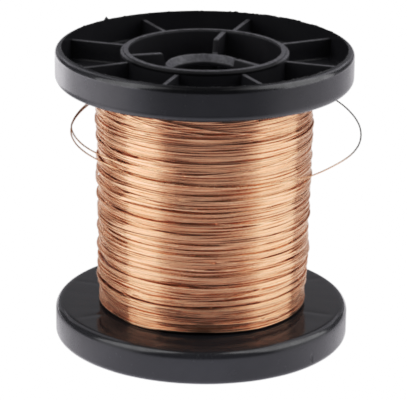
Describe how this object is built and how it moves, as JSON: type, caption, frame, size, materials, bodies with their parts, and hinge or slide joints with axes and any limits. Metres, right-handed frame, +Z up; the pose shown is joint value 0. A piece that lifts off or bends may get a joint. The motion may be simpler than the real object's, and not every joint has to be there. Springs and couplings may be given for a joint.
{
  "type": "wire spool",
  "caption": "Flanged plastic spool wound with fine bare copper wire, with ribbed open end discs, a finned hub with a spindle bore, and a loose wire end.",
  "frame": {"origin": "centre of the lower rim's plane, on the spool's axis, where the spool stands", "axes": "+Z up along the spool's axis and spindle bore; -Y is the front, where the wire's loose end lies across the winding"},
  "size_m": [0.0826, 0.081, 0.081],
  "materials": {
    "flange_plastic": "semi-gloss moulded, black",
    "barrel_plastic": "satin moulded, black",
    "copper_wire": "bright drawn copper"
  },
  "bodies": {
    "root": {"upper_flange": "flange_plastic", "lower_flange": "flange_plastic", "barrel_tube": "barrel_plastic", "upper_hub": "barrel_plastic", "lower_hub": "barrel_plastic", "winding": "copper_wire", "loose_end": "copper_wire"}
  },
  "joints": []
}
